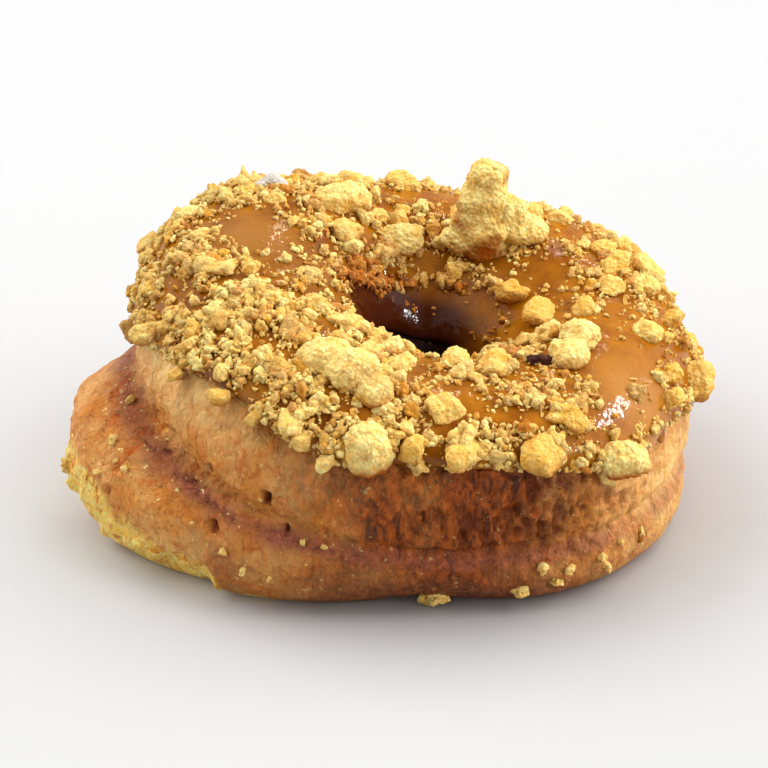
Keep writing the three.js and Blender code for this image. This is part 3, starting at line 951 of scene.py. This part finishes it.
def make_icing():
    top = icing_grid(np.linspace(0, 1, ICING_TOP_ROWS), icing_surface)
    under = icing_grid(np.linspace(1, 0, ICING_UNDER_ROWS), lambda turn, section: UNDERSIDE_LIFT)
    points = np.concatenate([top, under], axis=1)
    painted_sheen = sum(bell(in_plan(points, x, y), spread) for x, y, spread in SHEEN_PLACES)
    turn = np.arctan2(points[..., 1], points[..., 0])
    # Painted shade in the hole, less on its lit wall, then darker places that are partly wet and partly
    # painted shade
    deep = smoothstep(-in_plan(points), *DEEP_RADIUS) * (1 - 0.5 * near_turn(turn, *LIT_WALL_TURN))
    deep = deep + sum(DEEP_SHARE * bell(in_plan(points, x, y), spread) for x, y, spread in DEEP_PLACES)
    attributes = {"painted_sheen": np.clip(painted_sheen, 0, 1), "deep": np.clip(deep, 0, 1)}
    faces = ring_faces(*points.shape[:2])
    piece = make_piece("caramel_skin", points, faces, caramel, attributes)
    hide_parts("caramel_icing")
    return top


# Crumble

# Scattered crumbs of each size: name, seed, count, smallest and largest radius, divisions of the ball
# that each is made from, how strongly they gather where the crumble lies thick, how high they may lie
# over the icing there, and how rough they are
SCATTERED = [
    ("crumbs_fine", 11, 9500, (0.16, 0.42), 1, 0.9, 0.9, 0.6),
    ("crumbs_small", 12, 2400, (0.34, 0.72), 2, 1.3, 0.8, 0.5),
    ("crumbs_medium", 13, 480, (0.6, 1.25), 3, 1.5, 0.5, 0.55),
]
SPOT_JITTER = 0.3
THICK_COVER = (0.45, 0.9)
PLANE_DEPTH = (0.7, 1.15)
LARGEST_REACH = 1.4
CRUMB_STRETCH = (0.75, 1.3)

# Means and spreads of the crumbs' golden tint and caramel stain
TINT = (0.38, 0.32)
STAIN = (0.02, 0.24)
SOAKED_RADIUS = (11.5, 14)

# The large piece behind the hole and the others: size of the grain, height over the foot at which the
# soaked caramel ends, and share of caramel smeared higher up
TALL_CHUNK = (1.25, 5.5, 0.7)
LOW_CHUNK = (1.0, 2.9, 0.3)

# Shapes of the large crumbs that are flakes, and the finest divisions of a ball
FLAT_SHAPE = (0.75, 1.15, 0.5)
FLAKE_SHAPE = (1.1, 0.7, 0.6)
FINE_BALL = 4


def surface_patches(grid):
    """Middle, outward direction and area of each patch of the icing's top."""
    after = np.roll(grid, -1, axis=0)
    a, b = grid[:, :-1], after[:, :-1]
    c, d = after[:, 1:], grid[:, 1:]
    middle = (a + b + c + d) / 4
    normal = np.cross(c - a, d - b)
    area = np.linalg.norm(normal, axis=-1, keepdims=True)
    return middle.reshape(-1, 3), (normal / area).reshape(-1, 3), area.ravel() / 2


def scatter(draws, patches, count, power):
    """Random places on the icing, more where the crumble lies thick."""
    middle, normal, area = patches
    weight = area * cover_share(middle) ** power
    picked = draws.choice(len(area), count, p=weight / weight.sum())
    spot = middle[picked] + draws.uniform(-SPOT_JITTER, SPOT_JITTER, (count, 3))
    return spot, normal[picked]


def angular(draws, directions, count):
    """Reach of lumps about 1 wide, each cut by planes of its own, along each direction."""
    planes = draws.normal(size=(count, CRUMB_PLANES, 3))
    planes = planes / np.linalg.norm(planes, axis=-1, keepdims=True)
    depth = draws.uniform(*PLANE_DEPTH, (count, 1, CRUMB_PLANES))
    facing = np.maximum(np.einsum("vj,nkj->nvk", directions, planes), 0.3)
    return np.minimum((depth / facing).min(-1), LARGEST_REACH)


def crumb_shapes(draws, count, divisions, rough):
    """Angular lumps of radius about 1, and how far each point stands out."""
    points, faces = ball(divisions)
    stretch = draws.uniform(*CRUMB_STRETCH, (count, 1, 3))
    offset = draws.uniform(0, 500, (count, 1, 3))
    crag = fractal(points + offset, 0.8, 2, 131)
    near, _ = granules(points + offset, 0.8, 141)
    reach = angular(draws, points, count) * (1 + rough * crag + 0.3 * (near - 0.5))
    return points * reach[..., None] * stretch, faces, crag


def soaked_share(places):
    """How much caramel the crumbs on the hole's far wall soak up."""
    return (1 - smoothstep(in_plan(places), *SOAKED_RADIUS)) * (places[..., 1] > 0)


def joined_faces(faces, count, corners):
    """Faces of a number of copies of one shape in one mesh."""
    return (faces[None] + (np.arange(count) * corners)[:, None, None]).reshape(-1, 3)


def make_scattered(patches, name, seed, count, radii, divisions, power, stack, rough):
    """Crumbs of one size in one mesh."""
    draws = np.random.RandomState(seed)
    spot, normal = scatter(draws, patches, count, power)
    low, high = radii
    radius = low + (high - low) * draws.uniform(0, 1, (count, 1)) ** 2.0
    thick = smoothstep(cover_share(spot), *THICK_COVER)[:, None]
    raised = 0.2 * radius + stack * thick * draws.uniform(0, 1, (count, 1)) ** 1.5
    shapes, faces, crag = crumb_shapes(draws, count, divisions, rough)
    corners = shapes.shape[1]
    points = (spot + normal * raised)[:, None, :] + shapes * radius[:, None, :]
    # Golden tint per crumb, with painted shade in the hollows of each
    tint = draws.normal(*TINT, (count, 1)) - 0.35 * crag
    sunk = raised < 0.35 * radius + 0.12
    stain = draws.normal(*STAIN, (count, 1)) + 0.2 * sunk + 0.8 * soaked_share(spot)[:, None]
    stain = np.clip(stain, 0, 0.9)
    attributes = {"tint": np.clip(tint, 0, 1), "stain": np.broadcast_to(stain, (count, corners))}
    faces = joined_faces(faces, count, corners)
    make_piece(name, points, faces, crumble, attributes, smooth=divisions > 1)


def knobbly(points, outward, size, seed):
    """Crumble's skin: uneven lumps with granules, and finer grains on them."""
    near, owner = granules(points, 1.3 * size, seed)
    fine, _ = granules(points, 0.6 * size, seed + 7)
    crag = fractal(points, 2.6 * size, 4, seed + 11)
    out = 0.36 * size * (near - 0.55) + 0.3 * size * (fine - 0.55) + 0.5 * size * crag
    return points + outward * out[..., None], owner, near


def large_crumb(n, centre, radius, unit, draws):
    """Points, tint and stain of one crumb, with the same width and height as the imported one."""
    draw = seeded_random(n + 1)
    radii = radius * np.array([lerp(*span, draw()) for span in (CRUMB_WIDTH, CRUMB_WIDTH, CRUMB_HEIGHT)])
    if n == FLAT_FLAKE:
        radii = np.array(FLAT_SHAPE) * radius
    if n in (BURNT_CRUMB, WHITE_FLAKE):
        radii = np.array(FLAKE_SHAPE) * radius
    reach = angular(draws, unit, 1)[0][:, None]
    points, owner, near = knobbly(centre + unit * reach * radii, unit, min(0.9, 0.42 * radius), 200 + n)
    # Golden tint per granule, with painted shade between the granules
    tint = np.clip(0.42 + 0.45 * draw() + 0.35 * (owner - 0.5) + 0.5 * (0.4 - near), 0, 1)
    foot = smoothstep(centre[2] - points[:, 2], -0.1 * radius, 0.9 * radius)
    stain = np.clip(0.7 * foot + 0.5 * (draw() - 0.6) + 0.7 * soaked_share(centre), 0, 1)
    if n == FLAT_FLAKE:
        tint, stain = tint * 0.5 + 0.4, stain * 0.3 + 0.05
    return points, tint, stain


def make_large_crumbs():
    """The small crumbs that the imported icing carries, in full detail."""
    burnt = crumble_material("burnt_crumble", colour(92, 52, 40), colour(48, 22, 18), colour(40, 16, 12))
    white = crumble_material(
        "pale_flake", colour(208, 200, 192), colour(200, 190, 176), colour(196, 178, 150))
    materials = {"plain": crumble, "burnt": burnt, "white": white}
    unit, faces = ball(FINE_BALL)
    draws = np.random.RandomState(5)
    groups = {kind: [] for kind in materials}
    for n, (centre, radius) in enumerate(crumb_places()):
        kind = {BURNT_CRUMB: "burnt", WHITE_FLAKE: "white"}.get(n, "plain")
        groups[kind].append(large_crumb(n, centre, radius, unit, draws))
    for kind, made in groups.items():
        points, tint, stain = (np.array([m[k] for m in made]) for k in range(3))
        joined = joined_faces(faces, len(made), len(unit))
        attributes = {"tint": tint, "stain": stain}
        make_piece(f"large_crumbs_{kind}", points, joined, materials[kind], attributes)


def fused(name, lumps):
    """One skin round a chunk's lumps, as a voxel surface."""
    unit, faces = ball(FINE_BALL)
    points = np.concatenate([centre + unit * radii for centre, radii in lumps])
    joined = joined_faces(faces, len(lumps), len(unit))
    mesh = bpy.data.meshes.new(name + "_lumps")
    mesh.from_pydata((points * MM).tolist(), [], joined.tolist())
    holder = bpy.data.objects.new(name + "_lumps", mesh)
    bpy.context.scene.collection.objects.link(holder)
    remesh = holder.modifiers.new("skin", "REMESH")
    remesh.mode = "VOXEL"
    remesh.voxel_size = CHUNK_VOXEL * MM
    smooth = holder.modifiers.new("soften", "SMOOTH")
    smooth.iterations = CHUNK_SMOOTHING
    evaluated = holder.evaluated_get(bpy.context.evaluated_depsgraph_get())
    result = evaluated.to_mesh()
    points = np.array([v.co for v in result.vertices]) / MM
    normals = np.array([v.normal for v in result.vertices])
    quads = np.array([list(f.vertices) for f in result.polygons])
    evaluated.to_mesh_clear()
    bpy.data.objects.remove(holder)
    bpy.data.meshes.remove(mesh)
    return points, normals, quads


# Crumbs stuck to the crust: turn, section angle, radius
STUCK_CRUMBS = [
    (250, -11.5, 0.45), (246, -10, 0.4), (291.5, -37, 0.9), (295.5, -25, 0.8), (299, -32, 0.6),
    (301.5, -28, 0.6), (309, -26, 0.6), (311, -32, 0.55), (314.5, -23, 0.5), (321.5, -25, 0.55),
    (203.5, 1.5, 0.6), (207, -2, 0.4), (209.5, -3, 0.5), (205.5, -6, 0.4), (197.5, 10, 0.5),
    (232, -16, 0.5), (235.5, -22, 0.4), (240, -25, 0.4), (193, -15, 0.8), (272, -50, 0.9),
    (274.5, -49, 1.0),
]

# Drips of caramel on the crust: two places (turn, section angle), half width, thickness
DRIPS = [
    ((338, 34), (337, 20), 1.3, 0.7),
    ((331, 30), (331.5, 14), 1.1, 0.7),
    ((325, 34), (324, 22), 1.0, 0.6),
    ((321, -26), (322, -30), 0.7, 0.5),
]
DRIP_SWELL = 0.35


def make_stuck_crumbs():
    draws = np.random.RandomState(17)
    shapes, faces, crag = crumb_shapes(draws, len(STUCK_CRUMBS), 3, 0.5)
    points = []
    for (turn, section, radius), shape in zip(STUCK_CRUMBS, shapes):
        centre = skin(radians(turn), radians(section), 0.3 * radius)
        centre[2] = max(centre[2], 1.1 * radius)
        points.append(centre + shape * radius)
    joined = joined_faces(faces, len(points), shapes.shape[1])
    # Golden tint with painted shade in the hollows
    attributes = {"tint": 0.35 - 0.35 * crag, "stain": 0 * crag + 0.1}
    make_piece("crumbs_stuck", points, joined, crumble, attributes)


def make_drips():
    """Drops of caramel on the crust, fuller at the second place."""
    unit, faces = ball(FINE_BALL)
    points = []
    for start, end, half_width, thickness in DRIPS:
        a, b = (skin(radians(place[0]), radians(place[1])) for place in (start, end))
        out = (a + b) / 2 * np.array([1, 1, 0])
        out = out / np.linalg.norm(out)
        aside = np.cross(b - a, out)
        aside = aside / np.linalg.norm(aside)
        middle, half = (a + b) / 2, (b - a) / 2
        swollen = half_width * (1 + DRIP_SWELL * unit[:, :1])
        across = unit[:, 1:2] * swollen * aside
        points.append(middle + unit[:, :1] * half + across + unit[:, 2:] * thickness * out)
    joined = joined_faces(faces, len(points), len(unit))
    still = np.zeros((len(points), len(unit)))
    make_piece("caramel_drips", points, joined, caramel, {"painted_sheen": still, "deep": still})


def make_chunks():
    """The large pieces. Their feet, and patches higher up, are soaked with caramel."""
    for n, chunk in enumerate(CHUNKS):
        name = f"crumble_piece_{n + 1}"
        grain, soaked, smeared = TALL_CHUNK if n == 0 else LOW_CHUNK
        points, normals, quads = fused(name, chunk_lumps(chunk))
        points, owner, near = knobbly(points, normals, grain, 300 + 20 * n)
        above_foot = points[:, 2] - points[:, 2].min()
        foot = 1 - smoothstep(above_foot, 0.6, soaked)
        # Golden tint, with painted shade between the granules
        tint = 0.26 + 0.4 * (owner - 0.4) + 0.6 * (0.35 - near) + 0.2 * fractal(points, 4.0, 2, 400)
        patchy = smeared * smoothstep(fractal(points, 5.0, 2, 410), 0.25, 0.7)
        attributes = {"tint": np.clip(tint, 0, 1), "stain": np.clip(1.1 * foot + patchy, 0, 1)}
        piece = make_piece(name, points, quads, crumble, attributes)
        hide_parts(f"crumble_chunk_{n + 1}")


# Studio

# Strength of the sky's light
SKY_BACK = 0.3
SKY_FRONT = 0.04
SKY_SIDES = 1.5

# The floor reaches this many metres each way from the origin
FLOOR_REACH = 3.0
FLOOR_PALENESS = 0.62

# Where the lights point, from the hole's axis
LIGHT_TARGET = (0, 4, 18)

# Soft lights that glossy surfaces don't show: azimuth (0 is the right, 90 the back), elevation,
# distance and sides in metres, power in watts
SOFTBOXES = {
    "overhead": (60, 82, 1.0, (0.5, 0.4), 1.8),
    "back": (92, 60, 1.0, (0.8, 0.5), 1.2),
    "left": (162, 50, 1.0, (1.0, 0.8), 6.2),
    "right": (18, 50, 1.0, (1.0, 0.8), 5.0),
}

# Small lights for the highlights, which leave out the floor: the same values, then the colour
WHITE = (1, 1, 1)
GLINTS = {
    "glint_front": (-42, 27, 0.8, (0.1, 0.1), 2.4, WHITE),
    "glint_right": (14, 34, 0.8, (0.12, 0.04), 3.0, WHITE),
    "glint_back": (75, 46, 0.8, (0.05, 0.05), 0.5, (1, 0.84, 0.62)),
}


def make_floor():
    mesh = bpy.data.meshes.new("studio_floor")
    corners = [(x * FLOOR_REACH, y * FLOOR_REACH, 0) for x, y in ((-1, -1), (1, -1), (1, 1), (-1, 1))]
    mesh.from_pydata(corners, [], [(0, 1, 2, 3)])
    floor = bpy.data.objects.new("studio_floor", mesh)
    bpy.context.scene.collection.objects.link(floor)
    s = Shader("studio_floor")
    s.set(Base_Color=grey(FLOOR_PALENESS), Roughness=0.9, Specular_IOR_Level=0.1)
    mesh.materials.append(s.material)
    return floor


def direction(azimuth, elevation):
    """Unit vector towards a light."""
    a, e = math.radians(azimuth), math.radians(elevation)
    return Vector((math.cos(a) * math.cos(e), math.sin(a) * math.cos(e), math.sin(e)))


def make_light(name, azimuth, elevation, distance, size, power, tint=WHITE):
    """A flat light that points at the ring."""
    target = Vector((AXIS + np.array(LIGHT_TARGET)) * MM)
    lamp = bpy.data.lights.new(name, "AREA")
    lamp.shape = "RECTANGLE"
    lamp.size, lamp.size_y = size
    lamp.energy = power
    lamp.color = tint
    light = bpy.data.objects.new(name, lamp)
    light.location = target + direction(azimuth, elevation) * distance
    light.rotation_euler = (target - light.location).to_track_quat("-Z", "Y").to_euler()
    bpy.context.scene.collection.objects.link(light)
    return light


def keep_off(light, thing):
    """Leaves one object out of what a light shines on."""
    left_out = bpy.data.collections.new(light.name + "_left_out")
    left_out.objects.link(thing)
    light.light_linking.receiver_collection = left_out
    left_out.collection_objects[0].light_linking.link_state = "EXCLUDE"


def make_sky():
    """Brightest at the sides and dim on the photograph's side, where the ring lies in half shade."""
    world = bpy.data.worlds.new("studio")
    world.use_nodes = True
    tree = world.node_tree
    towards = tree.nodes.new("ShaderNodeSeparateXYZ")
    tree.links.new(tree.nodes.new("ShaderNodeTexCoord").outputs["Generated"], towards.inputs[0])
    shade = tree.nodes.new("ShaderNodeMapRange")
    tree.links.new(towards.outputs["Y"], shade.inputs["Value"])
    shade.inputs["From Min"].default_value = -0.8
    shade.inputs["From Max"].default_value = -0.1
    shade.inputs["To Min"].default_value = SKY_FRONT
    shade.inputs["To Max"].default_value = SKY_BACK
    sides = tree.nodes.new("ShaderNodeMath")
    sides.operation = "MULTIPLY"
    tree.links.new(towards.outputs["X"], sides.inputs[0])
    tree.links.new(towards.outputs["X"], sides.inputs[1])
    both = tree.nodes.new("ShaderNodeMath")
    both.operation = "MULTIPLY_ADD"
    tree.links.new(sides.outputs[0], both.inputs[0])
    both.inputs[1].default_value = SKY_SIDES
    tree.links.new(shade.outputs["Result"], both.inputs[2])
    tree.links.new(both.outputs[0], tree.nodes["Background"].inputs["Strength"])
    tree.nodes["Background"].inputs["Color"].default_value = (1, 1, 1, 1)
    bpy.context.scene.world = world


def make_studio():
    floor = make_floor()
    make_sky()
    for name, light in SOFTBOXES.items():
        make_light(name, *light).visible_glossy = False
    for name, light in GLINTS.items():
        keep_off(make_light(name, *light), floor)
    bpy.context.scene.view_settings.view_transform = "Standard"


def make_camera():
    target = Vector((AXIS + np.array(CAMERA_TARGET)) * MM)
    elevation = math.radians(CAMERA_ELEVATION)
    backwards = Vector((0, -math.cos(elevation), math.sin(elevation)))
    lens = bpy.data.cameras.new("camera")
    lens.lens = CAMERA_LENS
    camera = bpy.data.objects.new("camera", lens)
    camera.location = target + backwards * (CAMERA_DISTANCE * MM)
    camera.rotation_euler = (-backwards).to_track_quat("-Z", "Y").to_euler()
    bpy.context.scene.collection.objects.link(camera)
    bpy.context.scene.camera = camera


make_camera()
make_studio()
make_dough()
patches = surface_patches(make_icing())
for kind in SCATTERED:
    make_scattered(patches, *kind)
make_large_crumbs()
make_stuck_crumbs()
make_drips()
make_chunks()
